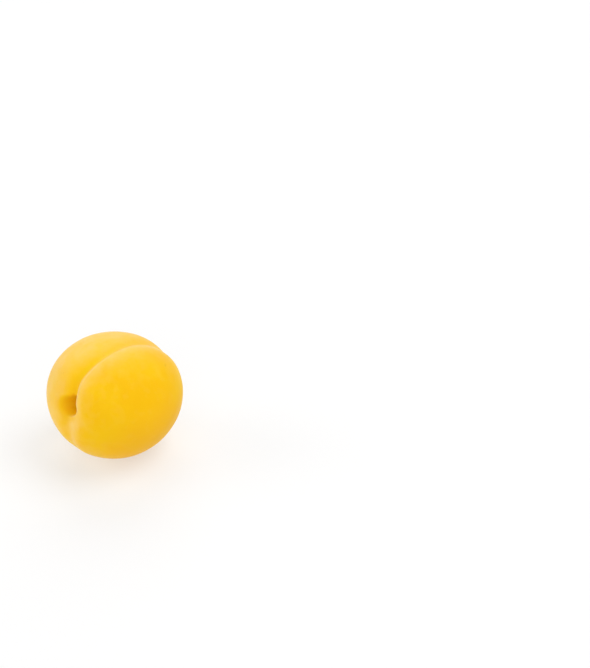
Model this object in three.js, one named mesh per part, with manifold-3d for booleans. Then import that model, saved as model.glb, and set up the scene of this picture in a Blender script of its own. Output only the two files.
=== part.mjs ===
// An apricot: one whole ripe fruit, without its stalk, lying on a small flat spot on its back.
// Millimetres, +Z up, origin at the middle of the flat spot.
// The stem end points to -X, the blossom end to +X, and the two cheeks to -Y and +Y.
//
// The skin is one closed surface. It starts as an ovoid and is then moved, point by point, by
// what shapes a real apricot: the suture groove from the stem cavity over the top to the
// blossom end, the stem cavity itself, a soft fold on the back, and broad uneven swells.
// In the fruit's own frame x runs towards the stem, y towards the suture, and z towards the
// far cheek. A point is found by its polar angle from the stem and its angle round from the
// suture.
import * as THREE from "three";
import { mergeVertices } from "three/addons/utils/BufferGeometryUtils.js";
import Module from "manifold-3d";

const { degToRad, lerp, smoothstep } = THREE.MathUtils;

// Size of the plain ovoid
const LENGTH = 51.5; // stem end to blossom end
const DEPTH = 45.6; // suture to back
const WIDTH = 47.7; // cheek to cheek

// How it lies
const STEM_RISE = degToRad(11.5); // lift of the stem end above level
const SUTURE_ROLL = degToRad(14.1); // turn of the suture from straight up towards -Y
const FLAT_DEPTH = 0.5; // height pressed flat under the fruit

// Stem cavity: a wide shallow bowl, and in it a deep pit with a raised scar on its floor
const BOWL_DEPTH = 1.3;
const BOWL_RADIUS = 10.5;
const PIT_DEPTH = 7.0;
const PIT_RADIUS = 2.75;
const PIT_TO_SUTURE = 2.05; // the pit's place off the fruit's axis
const PIT_TO_CHEEK = -2.35;
const PIT_SKEW = 0.45; // how much wider the pit is on the far cheek's side
const PIT_OVAL = -0.12; // how much narrower it is from suture to back, as a share of its radius
const PIT_MOUTH = 1.0; // how much further it reaches where the groove runs into it
const MOUTH_TURN = degToRad(18); // from the suture towards the far cheek
const MOUTH_WIDTH = degToRad(28);
const WALL_POWER = 3.6; // how abruptly the pit's wall drops
const WALL_UNDER_CHEEK = 0.9; // steeper under the near cheek, gentler under the far one
const WALL_UNDER_SUTURE = 0.6; // and steeper under the suture than at the back
const SCAR_RADIUS = 1.6;
const SCAR_RISE = 0.4;

// Suture: a groove with one steep flank, under the near cheek, which stands a little proud
const GROOVE_AT_STEM = 2.5; // depth
const GROOVE_AT_TIP = 0.9;
const GROOVE_AT_PIT = 0.35; // share of its depth left where it meets the pit
const FAR_FLANK = 4.4; // width of the gentle flank
const NEAR_FLANK = 1.15; // width of the steep flank beside the stem cavity
const FLANK_AT_TOP = 0.55; // its share of that width over the top
const FLANK_AT_TIP = 2.15; // and towards the blossom end
const SHOULDER = 0.4; // share of the depth that the near cheek's rounded shoulder takes up
const SHOULDER_WIDTH = 3.5;
const SUTURE_LEAN = 2.37; // swing of the suture from one cheek to the other along the fruit
const SUTURE_SHIFT = -0.03;
const SUTURE_HOOK = 5.47; // bend of the suture beside the stem cavity
const HOOK_REACH = degToRad(29.7);
const SUTURE_CURL = 1.65; // and its tighter bend round the pit
const CURL_REACH = degToRad(14);
const SUTURE_WAVER = 0.91; // small unevenness of its line
const WAVERS = 3.58;
const WAVER_TURN = degToRad(-70.4);
const NEAR_LIFT = 0.6; // how far the near cheek stands proud
const LIFT_REACH = 9;

// Back: a soft fold that runs down from the stem cavity, with a low ridge beside it
const FOLD_DEPTH = 0.9;
const FOLD_PLACE = -4.2; // off the middle, towards the near cheek
const FOLD_WIDTH = 2.8;
const RIDGE_HEIGHT = 0.2;
const RIDGE_PLACE = -8.6;
const RIDGE_WIDTH = 2.4;

// Blossom end: a low blunt tip
const TIP_HEIGHT = 0.5;
const TIP_RADIUS = 3.0;

// Broad uneven swells of the whole fruit
const THREE_SIDED = 0.18;
const THREE_SIDED_TURN = degToRad(219);
const TWIST = 0.5;
const TWIST_TURN = degToRad(159);

// Facets
const FACETS_ROUND = 80;
const FACETS_ALONG = 52;
const CLOSER_AT_SUTURE = 0.6; // how much closer the facets lie at the suture and the back
const CLOSER_AT_ENDS = 0.55; // and at the two ends

const SKIN_COLOUR = 0xfbc318;

const bell = (x) => Math.exp(-x * x);

// Goes from 0 at one polar angle, in degrees, to 1 at another
const eased = (polar, from, to) => smoothstep(polar, degToRad(from), degToRad(to));

function stemCavity(polar, suture, cheek) {
  const up = suture - PIT_TO_SUTURE;
  const across = cheek - PIT_TO_CHEEK;
  const radius = Math.hypot(up, across);
  const turn = Math.atan2(across, up);
  const reach =
    PIT_RADIUS * (1 + PIT_OVAL * Math.cos(2 * turn)) +
    PIT_SKEW * Math.sin(turn) +
    PIT_MOUTH * bell((turn - MOUTH_TURN) / MOUTH_WIDTH);
  const power =
    WALL_POWER - WALL_UNDER_CHEEK * Math.sin(turn) + WALL_UNDER_SUTURE * Math.cos(turn);
  const pit = PIT_DEPTH * Math.exp(-((radius / reach) ** power));
  const scar = SCAR_RISE * Math.exp(-((radius / SCAR_RADIUS) ** 4));
  const bowl = BOWL_DEPTH * bell(Math.hypot(suture, cheek) / BOWL_RADIUS);
  return smoothstep(Math.cos(polar), 0, 0.5) * (bowl + pit - scar);
}

// How far the suture runs off the middle of the fruit, towards the far cheek
function sutureLine(polar) {
  const swing = (SUTURE_LEAN * Math.cos(polar) + SUTURE_SHIFT) * (1 - eased(polar, 130, 172));
  const hook = SUTURE_HOOK * bell(polar / HOOK_REACH) + SUTURE_CURL * bell(polar / CURL_REACH);
  const overTop = eased(polar, 20, 40) * (1 - eased(polar, 110, 150));
  return swing - hook + SUTURE_WAVER * Math.sin(WAVERS * polar - WAVER_TURN) * overTop;
}

function sutureRelief(polar, suture, cheek) {
  const off = cheek - sutureLine(polar);
  const nearFlank =
    NEAR_FLANK *
    (1 +
      (FLANK_AT_TOP - 1) * eased(polar, 20, 70) +
      (FLANK_AT_TIP - FLANK_AT_TOP) * eased(polar, 85, 120));
  const depth =
    lerp(GROOVE_AT_STEM, GROOVE_AT_TIP, eased(polar, 15, 70)) *
    lerp(GROOVE_AT_PIT, 1, eased(polar, 8, 17));
  const farSide = 1 / (1 + (off / FAR_FLANK) ** 2);
  const nearSide = lerp(bell(off / nearFlank), bell(off / SHOULDER_WIDTH), SHOULDER);
  const groove = depth * (off > 0 ? farSide : nearSide);
  const onNear = 0.5 - 0.5 * Math.tanh(off / nearFlank);
  const lift = NEAR_LIFT * onNear * Math.exp(-Math.abs(off) / LIFT_REACH);
  const atTop = smoothstep(suture, -2, 6) * (1 - eased(polar, 150, 175));
  return atTop * (lift * (1 - 0.8 * eased(polar, 60, 120)) - groove);
}

function backRelief(polar, suture, cheek) {
  const fold = FOLD_DEPTH * bell((cheek - FOLD_PLACE) / FOLD_WIDTH);
  const ridge = RIDGE_HEIGHT * bell((cheek - RIDGE_PLACE) / RIDGE_WIDTH);
  return smoothstep(-suture, 0.5, 6) * (1 - eased(polar, 25, 65)) * (ridge - fold);
}

function swells(polar, around) {
  const threeSided = THREE_SIDED * Math.cos(3 * around - THREE_SIDED_TURN);
  const twist = TWIST * Math.cos(2 * around - TWIST_TURN) * Math.cos(polar);
  return (threeSided + twist) * Math.sin(polar) ** 2;
}

function skinPoint(polar, around) {
  const suture = (DEPTH / 2) * Math.sin(polar) * Math.cos(around);
  const cheek = (WIDTH / 2) * Math.sin(polar) * Math.sin(around);
  const point = new THREE.Vector3((LENGTH / 2) * Math.cos(polar), suture, cheek);
  const relief =
    swells(polar, around) + sutureRelief(polar, suture, cheek) + backRelief(polar, suture, cheek);
  point.setLength(point.length() + relief);
  point.x -= stemCavity(polar, suture, cheek);
  if (polar > Math.PI / 2) point.x -= TIP_HEIGHT * bell(Math.hypot(suture, cheek) / TIP_RADIUS);
  return point;
}

// A sphere's grid of facets, drawn closer along the suture and the back and at the two ends
function wholeSkin() {
  const skin = new THREE.SphereGeometry(1, FACETS_ROUND, FACETS_ALONG);
  const { position, uv } = skin.attributes;
  for (let i = 0; i < position.count; i += 1) {
    const turn = 2 * Math.PI * uv.getX(i);
    const fall = 2 * Math.PI * (1 - uv.getY(i));
    const around = turn - (CLOSER_AT_SUTURE / 2) * Math.sin(2 * turn);
    const polar = (fall - CLOSER_AT_ENDS * Math.sin(fall)) / 2;
    position.setXYZ(i, ...skinPoint(polar, around));
  }
  return skin;
}

// Turns the fruit from its own frame to the way it lies, with its lowest point FLAT_DEPTH under
// the ground
function layDown(skin) {
  const level = new THREE.Matrix4().makeBasis(
    new THREE.Vector3(-1, 0, 0),
    new THREE.Vector3(0, 0, 1),
    new THREE.Vector3(0, 1, 0),
  );
  const lie = new THREE.Matrix4().makeRotationFromEuler(
    new THREE.Euler(SUTURE_ROLL, STEM_RISE, 0, "YXZ"),
  );
  skin.applyMatrix4(lie.multiply(level));
  skin.computeBoundingBox();
  skin.translate(0, 0, -skin.boundingBox.min.z - FLAT_DEPTH);
}

function solidOf(wasm, geometry) {
  geometry.deleteAttribute("normal");
  geometry.deleteAttribute("uv");
  const closed = mergeVertices(geometry, 1e-3);
  return new wasm.Manifold(
    new wasm.Mesh({
      numProp: 3,
      vertProperties: closed.attributes.position.array,
      triVerts: new Uint32Array(closed.index.array),
    }),
  );
}

function geometryOf(solid) {
  const { vertProperties, triVerts } = solid.getMesh();
  const geometry = new THREE.BufferGeometry();
  geometry.setAttribute("position", new THREE.BufferAttribute(vertProperties, 3));
  geometry.setIndex(new THREE.BufferAttribute(triVerts, 1));
  return geometry;
}

// Moves the middle of the flat spot to the origin
function centreOnSpot(geometry) {
  const spot = new THREE.Box3();
  const { position } = geometry.attributes;
  for (let i = 0; i < position.count; i += 1) {
    const point = new THREE.Vector3().fromBufferAttribute(position, i);
    if (Math.abs(point.z) < 1e-4) spot.expandByPoint(point);
  }
  const middle = spot.getCenter(new THREE.Vector3());
  geometry.translate(-middle.x, -middle.y, 0);
}

function apricot(wasm) {
  const skin = wholeSkin();
  layDown(skin);
  const ground = new THREE.BoxGeometry(2 * LENGTH, 2 * LENGTH, LENGTH).translate(0, 0, -LENGTH / 2);
  const geometry = geometryOf(solidOf(wasm, skin).subtract(solidOf(wasm, ground)));
  centreOnSpot(geometry);
  geometry.computeVertexNormals();
  const material = new THREE.MeshStandardMaterial({
    color: SKIN_COLOUR,
    roughness: 0.6,
    metalness: 0,
  });
  const mesh = new THREE.Mesh(geometry, material);
  mesh.name = "apricot";
  return mesh;
}

const wasm = await Module();
wasm.setup();

const root = new THREE.Group();
root.add(apricot(wasm));

export default root;
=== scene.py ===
"""An apricot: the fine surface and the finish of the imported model, on a pale floor.

Lengths of the fruit are in millimetres in its own frame, as in the part: x runs towards the
stem, y towards the suture and z towards the far cheek. Everything else is in metres, in the
part's frame, +Z up.
"""
import math

import bpy
import numpy as np
from mathutils import Matrix, Vector, noise


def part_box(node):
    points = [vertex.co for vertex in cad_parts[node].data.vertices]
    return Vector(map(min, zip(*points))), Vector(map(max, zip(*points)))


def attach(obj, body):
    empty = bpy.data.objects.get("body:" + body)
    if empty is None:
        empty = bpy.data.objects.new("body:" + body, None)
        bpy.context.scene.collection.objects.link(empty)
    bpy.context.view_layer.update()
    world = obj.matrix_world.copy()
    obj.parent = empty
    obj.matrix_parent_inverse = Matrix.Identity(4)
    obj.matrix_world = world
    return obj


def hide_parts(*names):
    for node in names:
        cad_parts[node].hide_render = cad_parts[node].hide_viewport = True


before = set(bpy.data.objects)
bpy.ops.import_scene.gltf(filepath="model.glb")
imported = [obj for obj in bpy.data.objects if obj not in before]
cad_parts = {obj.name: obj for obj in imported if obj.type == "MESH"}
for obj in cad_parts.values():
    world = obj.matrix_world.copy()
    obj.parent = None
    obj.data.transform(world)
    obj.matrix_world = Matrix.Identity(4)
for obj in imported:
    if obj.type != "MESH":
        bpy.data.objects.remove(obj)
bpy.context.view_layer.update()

MM = 0.001

# ---- the photograph's camera -------------------------------------------------------------
IMAGE_WIDTH = 590
IMAGE_HEIGHT = 668
FRUIT_MIDDLE_PIXEL = (116.5, 394.2)  # where the fruit's middle lies in the photograph
CAMERA_AZIMUTH = math.radians(-45.8)
CAMERA_ELEVATION = math.radians(30.5)
CAMERA_DISTANCE = 0.6815
LENS = 100.0
SENSOR = 36.0

# ---- the fruit's form, the same as the part's ----------------------------------------------
# Size of the plain ovoid
LENGTH = 51.5  # stem end to blossom end
DEPTH = 45.6  # suture to back
WIDTH = 47.7  # cheek to cheek

# How it lies
STEM_RISE = math.radians(11.5)  # lift of the stem end above level
SUTURE_ROLL = math.radians(14.1)  # turn of the suture from straight up towards -Y
FLAT_DEPTH = 0.5  # height pressed flat under the fruit

# Stem cavity: a wide shallow bowl, and in it a deep pit with a raised scar on its floor
BOWL_DEPTH = 1.3
BOWL_RADIUS = 10.5
PIT_DEPTH = 7.0
PIT_RADIUS = 2.75
PIT_TO_SUTURE = 2.05  # the pit's place off the fruit's axis
PIT_TO_CHEEK = -2.35
PIT_SKEW = 0.45  # how much wider the pit is on the far cheek's side
PIT_OVAL = -0.12  # how much narrower it is from suture to back, as a share of its radius
PIT_MOUTH = 1.0  # how much further it reaches where the groove runs into it
MOUTH_TURN = math.radians(18)  # from the suture towards the far cheek
MOUTH_WIDTH = math.radians(28)
WALL_POWER = 3.6  # how abruptly the pit's wall drops
WALL_UNDER_CHEEK = 0.9  # steeper under the near cheek, gentler under the far one
WALL_UNDER_SUTURE = 0.6  # and steeper under the suture than at the back
SCAR_RADIUS = 1.6
SCAR_RISE = 0.4

# Suture: a groove with one steep flank, under the near cheek, which stands a little proud
GROOVE_AT_STEM = 2.5  # depth
GROOVE_AT_TIP = 0.9
GROOVE_AT_PIT = 0.35  # share of its depth left where it meets the pit
FAR_FLANK = 4.4  # width of the gentle flank
NEAR_FLANK = 1.15  # width of the steep flank beside the stem cavity
FLANK_AT_TOP = 0.55  # its share of that width over the top
FLANK_AT_TIP = 2.15  # and towards the blossom end
SHOULDER = 0.4  # share of the depth that the near cheek's rounded shoulder takes up
SHOULDER_WIDTH = 3.5
SUTURE_LEAN = 2.37  # swing of the suture from one cheek to the other along the fruit
SUTURE_SHIFT = -0.03
SUTURE_HOOK = 5.47  # bend of the suture beside the stem cavity
HOOK_REACH = math.radians(29.7)
SUTURE_CURL = 1.65  # and its tighter bend round the pit
CURL_REACH = math.radians(14)
SUTURE_WAVER = 0.91  # small unevenness of its line
WAVERS = 3.58
WAVER_TURN = math.radians(-70.4)
NEAR_LIFT = 0.6  # how far the near cheek stands proud
LIFT_REACH = 9

# Back: a soft fold that runs down from the stem cavity, with a low ridge beside it
FOLD_DEPTH = 0.9
FOLD_PLACE = -4.2  # off the middle, towards the near cheek
FOLD_WIDTH = 2.8
RIDGE_HEIGHT = 0.2
RIDGE_PLACE = -8.6
RIDGE_WIDTH = 2.4

# Blossom end: a low blunt tip
TIP_HEIGHT = 0.5
TIP_RADIUS = 3.0

# Broad uneven swells of the whole fruit
THREE_SIDED = 0.18
THREE_SIDED_TURN = math.radians(219)
TWIST = 0.5
TWIST_TURN = math.radians(159)

# ---- the fine surface ----------------------------------------------------------------------
FACETS_ROUND = 340
FACETS_ALONG = 260
CLOSER_AT_SUTURE = 0.6  # how much closer the facets lie at the suture and the back
CLOSER_AT_ENDS = 0.55  # and at the two ends
UNEVEN_DEPTH = 0.07  # broad unevenness of the skin
UNEVEN_LENGTH = 7.0
GRAIN_DEPTH = 0.012  # fine grain of the skin
GRAIN_LENGTH = 1.1


def smooth(value, low, high):
    t = np.clip((value - low) / (high - low), 0, 1)
    return t * t * (3 - 2 * t)


def eased(polar, low, high):
    """From 0 at one polar angle, in degrees, to 1 at another."""
    return smooth(polar, math.radians(low), math.radians(high))


def mixed(low, high, share):
    return low + (high - low) * share


def bell(x):
    return np.exp(-x * x)


def pit_place(suture, cheek):
    """Distance from the pit's middle and the angle round it from the suture."""
    up = suture - PIT_TO_SUTURE
    across = cheek - PIT_TO_CHEEK
    return np.hypot(up, across), np.arctan2(across, up)


def stem_pit(suture, cheek):
    """How deep the pit is, from 0 outside it to 1 on its floor."""
    radius, turn = pit_place(suture, cheek)
    reach = PIT_RADIUS * (1 + PIT_OVAL * np.cos(2 * turn)) + PIT_SKEW * np.sin(turn)
    reach = reach + PIT_MOUTH * bell((turn - MOUTH_TURN) / MOUTH_WIDTH)
    power = WALL_POWER - WALL_UNDER_CHEEK * np.sin(turn) + WALL_UNDER_SUTURE * np.cos(turn)
    return np.exp(-((radius / reach) ** power))


def stem_cavity(polar, suture, cheek):
    radius, _ = pit_place(suture, cheek)
    pit = PIT_DEPTH * stem_pit(suture, cheek)
    scar = SCAR_RISE * np.exp(-((radius / SCAR_RADIUS) ** 4))
    bowl = BOWL_DEPTH * bell(np.hypot(suture, cheek) / BOWL_RADIUS)
    return smooth(np.cos(polar), 0, 0.5) * (bowl + pit - scar)


def suture_line(polar):
    """How far the suture runs off the middle of the fruit, towards the far cheek."""
    swing = (SUTURE_LEAN * np.cos(polar) + SUTURE_SHIFT) * (1 - eased(polar, 130, 172))
    hook = SUTURE_HOOK * bell(polar / HOOK_REACH) + SUTURE_CURL * bell(polar / CURL_REACH)
    over_top = eased(polar, 20, 40) * (1 - eased(polar, 110, 150))
    return swing - hook + SUTURE_WAVER * np.sin(WAVERS * polar - WAVER_TURN) * over_top


def suture_relief(polar, suture, cheek):
    off = cheek - suture_line(polar)
    near_flank = NEAR_FLANK * (
        1
        + (FLANK_AT_TOP - 1) * eased(polar, 20, 70)
        + (FLANK_AT_TIP - FLANK_AT_TOP) * eased(polar, 85, 120)
    )
    depth = mixed(GROOVE_AT_STEM, GROOVE_AT_TIP, eased(polar, 15, 70))
    depth = depth * mixed(GROOVE_AT_PIT, 1, eased(polar, 8, 17))
    near = mixed(bell(off / near_flank), bell(off / SHOULDER_WIDTH), SHOULDER)
    groove = depth * np.where(off > 0, 1 / (1 + (off / FAR_FLANK) ** 2), near)
    near_side = 0.5 - 0.5 * np.tanh(off / near_flank)
    lift = NEAR_LIFT * near_side * np.exp(-np.abs(off) / LIFT_REACH)
    at_top = smooth(suture, -2, 6) * (1 - eased(polar, 150, 175))
    return at_top * (lift * (1 - 0.8 * eased(polar, 60, 120)) - groove)


def back_relief(polar, suture, cheek):
    fold = FOLD_DEPTH * bell((cheek - FOLD_PLACE) / FOLD_WIDTH)
    ridge = RIDGE_HEIGHT * bell((cheek - RIDGE_PLACE) / RIDGE_WIDTH)
    return smooth(-suture, 0.5, 6) * (1 - eased(polar, 25, 65)) * (ridge - fold)


def swells(polar, around):
    three_sided = THREE_SIDED * np.cos(3 * around - THREE_SIDED_TURN)
    twist = TWIST * np.cos(2 * around - TWIST_TURN) * np.cos(polar)
    return (three_sided + twist) * np.sin(polar) ** 2


def skin_points(polar, around):
    suture = DEPTH / 2 * np.sin(polar) * np.cos(around)
    cheek = WIDTH / 2 * np.sin(polar) * np.sin(around)
    points = np.stack([LENGTH / 2 * np.cos(polar), suture, cheek], axis=-1)
    relief = (
        swells(polar, around)
        + suture_relief(polar, suture, cheek)
        + back_relief(polar, suture, cheek)
    )
    size = np.linalg.norm(points, axis=-1)
    points = points * (1 + relief / size)[..., None]
    points[..., 0] -= stem_cavity(polar, suture, cheek)
    tip = TIP_HEIGHT * bell(np.hypot(suture, cheek) / TIP_RADIUS)
    points[..., 0] -= np.where(polar > math.pi / 2, tip, 0)
    return points


def lie_matrix():
    """Turns the fruit from its own frame to the way it lies."""
    level = Matrix(((-1, 0, 0), (0, 0, 1), (0, 1, 0))).transposed()
    roll = Matrix.Rotation(SUTURE_ROLL, 3, "X")
    rise = Matrix.Rotation(STEM_RISE, 3, "Y")
    return rise @ roll @ level


def skin_grid():
    """Polar angle and angle round, one row for each ring of facets between the two ends."""
    turn = 2 * math.pi * np.arange(FACETS_ROUND) / FACETS_ROUND
    fall = 2 * math.pi * np.arange(1, FACETS_ALONG) / FACETS_ALONG
    around = turn - CLOSER_AT_SUTURE / 2 * np.sin(2 * turn)
    polar = (fall - CLOSER_AT_ENDS * np.sin(fall)) / 2
    polar, around = np.meshgrid(polar, around, indexing="ij")
    ends = np.array([0.0, math.pi])
    return np.append(polar.ravel(), ends), np.append(around.ravel(), ends * 0)


def skin_faces():
    """Quads between neighbouring rings, and a fan of triangles at each end."""
    rings = FACETS_ALONG - 1
    stem_end = rings * FACETS_ROUND
    blossom_end = stem_end + 1
    faces = []
    for i in range(FACETS_ROUND):
        j = (i + 1) % FACETS_ROUND
        faces.append((stem_end, i, j))
        last = (rings - 1) * FACETS_ROUND
        faces.append((blossom_end, last + j, last + i))
        for k in range(rings - 1):
            here = k * FACETS_ROUND
            below = here + FACETS_ROUND
            faces.append((here + i, below + i, below + j, here + j))
    return faces


def unevenness(point):
    """How far the skin stands off its plain form at a point, both in millimetres."""
    broad = noise.noise(Vector(point) / UNEVEN_LENGTH)
    fine = noise.noise(Vector(point) / GRAIN_LENGTH)
    return UNEVEN_DEPTH * broad + GRAIN_DEPTH * fine


def laid_down(points):
    """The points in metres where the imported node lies, pressed flat underneath."""
    points = points @ np.array(lie_matrix()).T
    points[:, 2] -= points[:, 2].min() + FLAT_DEPTH
    points[:, 2] = np.maximum(points[:, 2], 0)
    points *= MM
    low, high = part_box("apricot")
    middle = (points.min(axis=0) + points.max(axis=0)) / 2
    points[:, 0] += (low.x + high.x) / 2 - middle[0]
    points[:, 1] += (low.y + high.y) / 2 - middle[1]
    return points


# ---- where the skin's colour changes -------------------------------------------------------
EDGE_PLACE = 1.0  # the near cheek's edge, with more painted sheen, off the suture line
EDGE_WIDTH = 2.2
EDGE_START = 0.8
PAD_PLACE = -8.4  # the pad of painted sheen under the pit, off the middle
PAD_LEAN = 0.65  # and its bend towards the fold, above and below the pit
PAD_WIDTH = 2.5
PAD_SHEEN = 0.85  # its share of the painted sheen at the near cheek's edge
FLANK_PLACE = 0.1  # the deeper colour on the groove's steep side
FLANK_WIDTH = 0.7
NOOK_PLACE = 1.2  # painted shade, deepest in the groove close under the near cheek
NOOK_WIDTH = 1.3
NOOK_AT_PIT = 3.2
FOLD_SHADE_PLACE = -1.8  # the deeper colour in the fold below the pit
HOLLOW_REACH = 6.5  # painted shade round the pit, on the far cheek's side
NICK_POLAR = math.radians(109.4)  # a tiny nick in the near cheek's skin
NICK_CHEEK = -10.7
NICK_TURN = math.radians(36)  # its slant, from lengthwise towards the far cheek
NICK_LENGTH = 0.7
NICK_WIDTH = 0.28
TIP_SCAR_RADIUS = 0.7
LEAST_SHEEN_SIDE = (-0.25, -0.97, 0.06)  # the way the side with the least painted sheen faces
UNDERSIDE_SHADE_SIDE = (0.10, -0.80, -0.60)  # the way the side with the most painted shade, deepest orange, faces


def lobe_edge(polar, suture, cheek):
    """Nearness to the edge of the near cheek, along the suture and on down past the pit, where
    more painted sheen goes.
    """
    past_top = cheek - suture_line(polar) + EDGE_PLACE
    falling = np.where(past_top < 0, np.exp(past_top / EDGE_WIDTH), bell(past_top / EDGE_START))
    over_top = smooth(suture, -1, 4) * (1 - eased(polar, 110, 150))
    off_pad = cheek - PAD_PLACE - PAD_LEAN * np.abs(suture)
    pad = np.exp(-((off_pad / PAD_WIDTH) ** 4)) * (1 - eased(polar, 14, 32))
    return falling * over_top + PAD_SHEEN * pad * (1 - smooth(suture, 2, 7))


def groove_nook(polar, suture, cheek):
    """Nearness to the groove's deepest corner, which widens towards the pit, where shade is
    painted.
    """
    off = cheek - suture_line(polar)
    far_width = mixed(NOOK_AT_PIT, NOOK_WIDTH, eased(polar, 16, 42))
    nook = bell((off - NOOK_PLACE) / np.where(off > NOOK_PLACE, far_width, NOOK_WIDTH))
    return nook * smooth(suture, 0, 3) * (1 - eased(polar, 40, 72))


def pit_hollow(suture, cheek):
    """Nearness to the pit, where shade is painted, but not on the near cheek or up the groove.
    """
    from_pit, _ = pit_place(suture, cheek)
    hollow = np.exp(-((from_pit / HOLLOW_REACH) ** 4)) * smooth(cheek, -5, -2)
    return hollow * (1 - smooth(suture, 2, 6))


def skin_nick(polar, suture, cheek):
    """Nearness to the nick."""
    past = (polar - NICK_POLAR) * LENGTH / 2
    aside = cheek - NICK_CHEEK
    along = past * math.cos(NICK_TURN) + aside * math.sin(NICK_TURN)
    across = aside * math.cos(NICK_TURN) - past * math.sin(NICK_TURN)
    return bell(along / NICK_LENGTH) * bell(across / NICK_WIDTH) * (suture > 0)


def painted_areas(polar, suture, cheek):
    """How far each area's colour shows at a point of the skin, from 0 to 1."""
    at_stem = polar < math.pi / 2
    from_pit, _ = pit_place(suture, cheek)
    from_axis = np.hypot(suture, cheek)
    off = cheek - suture_line(polar)
    flank = bell((off + FLANK_PLACE) / FLANK_WIDTH) * smooth(suture, -1, 4)
    fold = bell((cheek - FOLD_SHADE_PLACE) / FOLD_WIDTH) * smooth(-suture, -1, 3)
    return {
        "cavity": at_stem * stem_pit(suture, cheek),
        "scar": at_stem * np.exp(-((from_pit / SCAR_RADIUS) ** 6)),
        "groove": -suture_relief(polar, suture, cheek) / GROOVE_AT_STEM,
        "flank": flank * (1 - eased(polar, 90, 140)),
        "nook": groove_nook(polar, suture, cheek),
        "near_stem": 1 - eased(polar, 22, 48),
        "edge": lobe_edge(polar, suture, cheek),
        "fold": at_stem * fold * (1 - eased(polar, 18, 40)),
        "hollow": at_stem * pit_hollow(suture, cheek),
        "nick": skin_nick(polar, suture, cheek),
        "tip": ~at_stem * bell(from_axis / TIP_SCAR_RADIUS),
    }


def add_attribute(mesh, name, values):
    layer = mesh.attributes.new(name, "FLOAT", "POINT")
    layer.data.foreach_set("value", np.asarray(values, dtype=np.float32))


# ---- the fruit -----------------------------------------------------------------------------
def make_skin():
    polar, around = skin_grid()
    suture = DEPTH / 2 * np.sin(polar) * np.cos(around)
    cheek = WIDTH / 2 * np.sin(polar) * np.sin(around)
    points = skin_points(polar, around)
    off_form = np.array([unevenness(point) for point in points])
    points *= (1 + off_form / np.linalg.norm(points, axis=-1))[:, None]

    mesh = bpy.data.meshes.new("apricot_skin")
    mesh.from_pydata(laid_down(points).tolist(), [], skin_faces())
    mesh.shade_smooth()

    for name, values in painted_areas(polar, suture, cheek).items():
        add_attribute(mesh, name, values)
    facing = np.array([vertex.normal for vertex in mesh.vertices])
    for name, side in (("least_sheen_facing", LEAST_SHEEN_SIDE), ("underside_shade", UNDERSIDE_SHADE_SIDE)):
        add_attribute(mesh, name, facing @ np.array(Vector(side).normalized()))

    skin = bpy.data.objects.new("apricot_skin", mesh)
    bpy.context.scene.collection.objects.link(skin)
    return skin


# ---- materials -----------------------------------------------------------------------------
YELLOW = (0.89, 0.53, 0.002, 1)
GOLD = (0.88, 0.49, 0.001, 1)
# painted sheen: the pale haze that the fuzz shows under the lights
PAINTED_SHEEN = (0.90, 0.60, 0.18, 1)
# painted shade: deeper orange on the underside
UNDERSIDE_SHADE = (0.88, 0.46, 0.006, 1)
# painted shade in the groove's deepest corner, greenish away from the stem
GREENISH_SHADE = (0.81, 0.56, 0.001, 1)
# deep orange: painted shade in the pit, round it and in the groove near the stem, and the
# darker ring round the blossom end
DEEP = (0.83, 0.455, 0.001, 1)
CORK = (0.13, 0.055, 0.02, 1)
CORK_PALE = (0.33, 0.17, 0.06, 1)
SPECK = (0.55, 0.22, 0.02, 1)
FLOOR_GREY = (0.39, 0.39, 0.39, 1)
FLOOR_PALE = (0.41, 0.41, 0.41, 1)
WHITE = (1, 1, 1, 1)
SHEEN = (1, 0.8, 0.6, 1)

# Sizes of the colour's patches, in millimetres
GOLD_PATCH = 16
SHEEN_CLOUD = 5
SHEEN_TUFT = 3
GLOSS_PATCH = 3
FLOOR_PATCH = 300

# Painted sheen, the fuzz's pale haze under the lights: how squarely the skin faces its least
# sheen side where there is none, where it is full, and where it thins at the back
NO_SHEEN_FACING = 0.87
FULL_SHEEN_FACING = -0.42
THINNING_SHEEN_FACING = -0.45
BACK_FACING = -0.95
BACK_SHEEN = 0.5  # share of the painted sheen left there
SHEEN_POWER = 1.25  # how much faster it fades towards the side with the least of it
EDGE_SHEEN = 0.6  # how much more painted sheen lies on the near cheek's edge
THIN_CLOUD = 0.55  # share left between its clouds
NOOK_SHEEN = 0.25  # and in the groove's deepest corner

# How far each deeper colour covers the one under it
UNDERSIDE_SHADE_SHARE = 0.9
GROOVE_SHARE = 0.5
FLANK_SHARE = 0.6
FOLD_SHARE = 0.45
HOLLOW_SHARE = 0.9
NOOK_SHARE = 0.5
NICK_SHARE = 0.3
TIP_HALO_SHARE = 0.5
TIP_SHARE = 0.9

# Specks: millimetres from one to the next, how rare they are, their radius, and their strength
SKIN_SPECKS = (2.6, (0.66, 0.7), (0.03, 0.07), 0.45)
GROOVE_SPECKS = (1.5, (0.6, 0.65), (0.08, 0.16), 0.4)

# Bumps too fine for the mesh: size, strength, and depth in millimetres
PORES = (0.35, 0.25, 0.03)
DIMPLES = (1.8, 0.2, 0.08)

FLOOR_GLOW = 0.5


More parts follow.
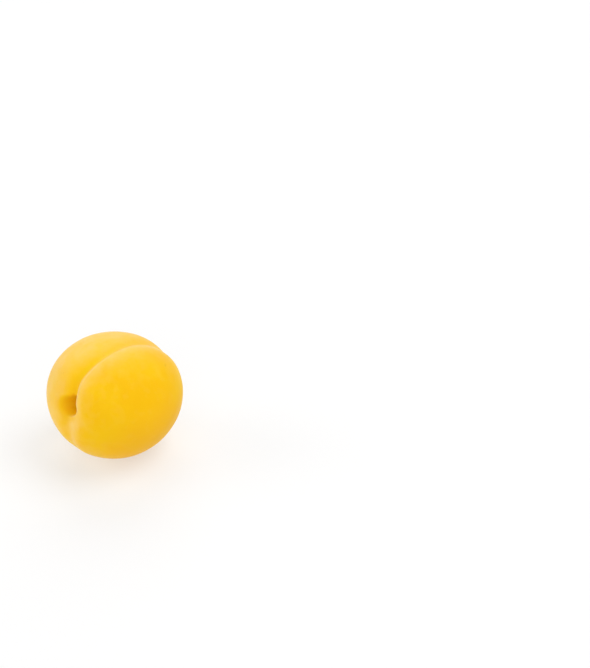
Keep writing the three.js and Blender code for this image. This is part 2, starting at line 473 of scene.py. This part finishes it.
class Nodes:
    """A material's node tree, with one short call for each kind of node."""

    def __init__(self, name):
        self.material = bpy.data.materials.new(name)
        self.material.use_nodes = True
        self.tree = self.material.node_tree
        self.shader = self.tree.nodes["Principled BSDF"]
        self.place = self.add("ShaderNodeTexCoord").outputs["Object"]

    def add(self, kind, **settings):
        node = self.tree.nodes.new(kind)
        for name, value in settings.items():
            setattr(node, name, value)
        return node

    def put(self, socket, value):
        if isinstance(value, bpy.types.NodeSocket):
            self.tree.links.new(value, socket)
        else:
            socket.default_value = value

    def noise(self, size_mm, detail=3.0):
        node = self.add("ShaderNodeTexNoise")
        self.put(node.inputs["Vector"], self.place)
        self.put(node.inputs["Scale"], 1 / (size_mm * MM))
        self.put(node.inputs["Detail"], detail)
        return node.outputs["Fac"]

    def cells(self, size_mm):
        node = self.add("ShaderNodeTexVoronoi")
        self.put(node.inputs["Vector"], self.place)
        self.put(node.inputs["Scale"], 1 / (size_mm * MM))
        return node.outputs["Distance"], node.outputs["Color"]

    def attribute(self, name):
        return self.add("ShaderNodeAttribute", attribute_name=name).outputs["Fac"]

    def span(self, value, low, high, to_low=0.0, to_high=1.0):
        node = self.add("ShaderNodeMapRange", interpolation_type="SMOOTHSTEP")
        ends = (value, low, high, to_low, to_high)
        names = ("Value", "From Min", "From Max", "To Min", "To Max")
        for name, end in zip(names, ends):
            self.put(node.inputs[name], end)
        return node.outputs["Result"]

    def math(self, kind, a, b):
        node = self.add("ShaderNodeMath", operation=kind)
        self.put(node.inputs[0], a)
        self.put(node.inputs[1], b)
        return node.outputs[0]

    def times(self, a, b):
        return self.math("MULTIPLY", a, b)

    def plus(self, a, b):
        return self.math("ADD", a, b)

    def mix(self, share, a, b):
        node = self.add("ShaderNodeMix", data_type="RGBA")
        self.put(node.inputs["Factor"], share)
        self.put(node.inputs["A"], a)
        self.put(node.inputs["B"], b)
        return node.outputs["Result"]

    def tint(self, colour, area, share, other):
        """Covers a share of the colour with another one in a painted area."""
        return self.mix(self.times(self.attribute(area), share), colour, other)

    def ragged(self, area, size_mm, depth):
        """A painted area with an uneven edge."""
        uneven = self.span(self.noise(size_mm), 0.2, 0.8, -depth, depth)
        return self.plus(self.attribute(area), uneven)

    def bump(self, height, strength, depth_mm, normal=None):
        node = self.add("ShaderNodeBump")
        self.put(node.inputs["Height"], height)
        self.put(node.inputs["Strength"], strength)
        self.put(node.inputs["Distance"], depth_mm * MM)
        if normal is not None:
            self.put(node.inputs["Normal"], normal)
        return node.outputs["Normal"]

    def set(self, **values):
        for name, value in values.items():
            self.put(self.shader.inputs[name.replace("_", " ")], value)


def painted_sheen_share(n):
    """Share of painted sheen, the fuzz's pale haze under the lights: most facing +Y and on the
    near cheek's edge.
    """
    least_sheen_facing = n.attribute("least_sheen_facing")
    at_back = n.span(least_sheen_facing, BACK_FACING, THINNING_SHEEN_FACING, to_low=BACK_SHEEN)
    down = n.times(n.span(least_sheen_facing, NO_SHEEN_FACING, FULL_SHEEN_FACING), at_back)
    down = n.math("POWER", down, SHEEN_POWER)
    down = n.plus(down, n.times(n.attribute("edge"), EDGE_SHEEN))
    down = n.plus(down, n.span(n.noise(SHEEN_TUFT), 0.3, 0.7, -0.07, 0.06))
    down = n.math("MAXIMUM", n.math("MINIMUM", down, 1), 0)
    down = n.times(down, n.span(n.noise(SHEEN_CLOUD, 4), 0.25, 0.75, to_low=THIN_CLOUD))
    outside_pit = n.span(n.attribute("cavity"), 0.3, 0.02)
    outside_nook = n.span(n.attribute("nook"), 1, 0, to_low=NOOK_SHEEN)
    return n.times(down, n.times(outside_pit, outside_nook))


def speckled(n, colour, where, specks):
    """Scatters brown specks over the colour."""
    apart, rare, radius, strength = specks
    distance, kind = n.cells(apart)
    spot = n.span(distance, *radius, to_low=1, to_high=0)
    speck = n.times(spot, n.times(n.span(kind, *rare), where))
    return n.mix(n.times(speck, strength), colour, SPECK)


def skin_colour(n):
    colour = n.mix(n.span(n.noise(GOLD_PATCH), 0.35, 0.65), YELLOW, GOLD)
    # painted shade, deeper orange on the side facing down and towards -Y
    colour = n.mix(n.span(n.attribute("underside_shade"), 0.45, 1, to_high=UNDERSIDE_SHADE_SHARE), colour, UNDERSIDE_SHADE)
    # painted sheen over the colour
    colour = n.mix(painted_sheen_share(n), colour, PAINTED_SHEEN)

    groove = n.attribute("groove")
    colour = n.mix(n.span(groove, 0.15, 1, to_high=GROOVE_SHARE), colour, GOLD)
    colour = n.tint(colour, "flank", FLANK_SHARE, GOLD)
    colour = n.tint(colour, "fold", FOLD_SHARE, GOLD)
    # painted shade round the pit
    colour = n.tint(colour, "hollow", HOLLOW_SHARE, DEEP)
    # painted shade in the groove's deepest corner: deep orange near the stem, greenish further
    # up
    furrow_shade = n.mix(n.attribute("near_stem"), GREENISH_SHADE, DEEP)
    colour = n.tint(colour, "nook", NOOK_SHARE, furrow_shade)
    # painted shade in the pit
    colour = n.mix(n.span(n.attribute("cavity"), 0.1, 0.9), colour, DEEP)

    colour = speckled(n, colour, 1, SKIN_SPECKS)
    colour = speckled(n, colour, n.span(groove, 0.1, 0.25), GROOVE_SPECKS)
    colour = n.tint(colour, "nick", NICK_SHARE, SPECK)

    cork = n.mix(n.noise(0.5, 4), CORK, CORK_PALE)
    scar = n.ragged("scar", size_mm=0.9, depth=0.3)
    colour = n.mix(n.span(scar, 0.35, 0.7), colour, cork)
    halo = n.span(n.attribute("tip"), 0.02, 0.5, to_high=TIP_HALO_SHARE)
    colour = n.mix(halo, colour, DEEP)
    tip = n.ragged("tip", size_mm=0.7, depth=0.25)
    return n.mix(n.span(tip, 0.45, 0.85, to_high=TIP_SHARE), colour, CORK_PALE)


def skin_material():
    n = Nodes("apricot_skin")
    relief = None
    for size, strength, depth in (PORES, DIMPLES):
        relief = n.bump(n.noise(size), strength, depth, relief)
    n.set(
        Base_Color=skin_colour(n),
        Roughness=n.span(n.noise(GLOSS_PATCH, 2), 0.3, 0.7, 0.55, 0.68),
        Normal=relief,
        Specular_IOR_Level=0.1,
        Sheen_Weight=0.18,
        Sheen_Roughness=0.3,
        Sheen_Tint=SHEEN,
        Subsurface_Weight=0.15,
        Subsurface_Radius=(1.0, 0.6, 0.15),
        Subsurface_Scale=0.004,
    )
    return n.material


def floor_material():
    n = Nodes("floor")
    n.set(
        Base_Color=n.mix(n.noise(FLOOR_PATCH, 2), FLOOR_GREY, FLOOR_PALE),
        Roughness=0.7,
        Emission_Color=WHITE,
        Emission_Strength=FLOOR_GLOW,
    )
    return n.material


# ---- floor, lights and camera ---------------------------------------------------------------
FLOOR_SIZE = 6.0
WORLD_STRENGTH = 0.45
# Each light's name, metres to the right, above and in front of the fruit, size and watts
LIGHTS = (
    ("key", 0.8, 1.3, 0.0, 1.2, 11),
    ("left", -1.4, 0.6, 0.0, 1.2, 7.6),
    ("back", 0.0, 0.9, -1.2, 1.2, 6.2),
    ("front", 0.0, 0.8, 1.3, 1.2, 7),
)


def view_axes():
    """The camera's right, up and back directions."""
    flat = math.cos(CAMERA_ELEVATION)
    back = Vector(
        (
            math.sin(CAMERA_AZIMUTH) * flat,
            -math.cos(CAMERA_AZIMUTH) * flat,
            math.sin(CAMERA_ELEVATION),
        )
    )
    right = Vector((math.cos(CAMERA_AZIMUTH), math.sin(CAMERA_AZIMUTH), 0))
    return right, back.cross(right), back


def add_camera(middle):
    """Puts the fruit's middle on its pixel of the photograph."""
    right, up, back = view_axes()
    focal = LENS / SENSOR * IMAGE_HEIGHT
    across = FRUIT_MIDDLE_PIXEL[0] - IMAGE_WIDTH / 2
    down = FRUIT_MIDDLE_PIXEL[1] - IMAGE_HEIGHT / 2
    towards = (across * right - down * up - focal * back).normalized()
    data = bpy.data.cameras.new("camera")
    data.lens = LENS
    data.sensor_width = SENSOR
    camera = bpy.data.objects.new("camera", data)
    camera.location = middle - CAMERA_DISTANCE * towards
    camera.rotation_euler = Matrix((right, up, back)).transposed().to_euler()
    bpy.context.scene.collection.objects.link(camera)
    bpy.context.scene.camera = camera


def add_light(name, right_of, height, front_of, size, power, middle):
    """A round soft light, placed from the fruit in metres as the camera sees it."""
    right, _, back = view_axes()
    front = Vector((back.x, back.y, 0)).normalized()
    data = bpy.data.lights.new(name, "AREA")
    data.shape = "DISK"
    data.size = size
    data.energy = power
    light = bpy.data.objects.new(name, data)
    light.location = middle + right * right_of + Vector((0, 0, height)) + front * front_of
    light.rotation_euler = (light.location - middle).to_track_quat("Z", "Y").to_euler()
    bpy.context.scene.collection.objects.link(light)


def add_world(strength):
    world = bpy.data.worlds.new("studio")
    world.use_nodes = True
    background = world.node_tree.nodes["Background"]
    background.inputs["Color"].default_value = WHITE
    background.inputs["Strength"].default_value = strength
    bpy.context.scene.world = world


def add_floor():
    half = FLOOR_SIZE / 2
    mesh = bpy.data.meshes.new("floor")
    corners = [(-half, -half, 0), (half, -half, 0), (half, half, 0), (-half, half, 0)]
    mesh.from_pydata(corners, [], [(0, 1, 2, 3)])
    mesh.materials.append(floor_material())
    floor = bpy.data.objects.new("floor", mesh)
    bpy.context.scene.collection.objects.link(floor)


# ---- the whole -----------------------------------------------------------------------------
skin = make_skin()
skin.data.materials.append(skin_material())
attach(skin, "root")
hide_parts("apricot")

low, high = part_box("apricot")
fruit_middle = (low + high) / 2
add_camera(fruit_middle)
for light in LIGHTS:
    add_light(*light, fruit_middle)
add_world(WORLD_STRENGTH)
add_floor()
bpy.context.scene.view_settings.view_transform = "Standard"
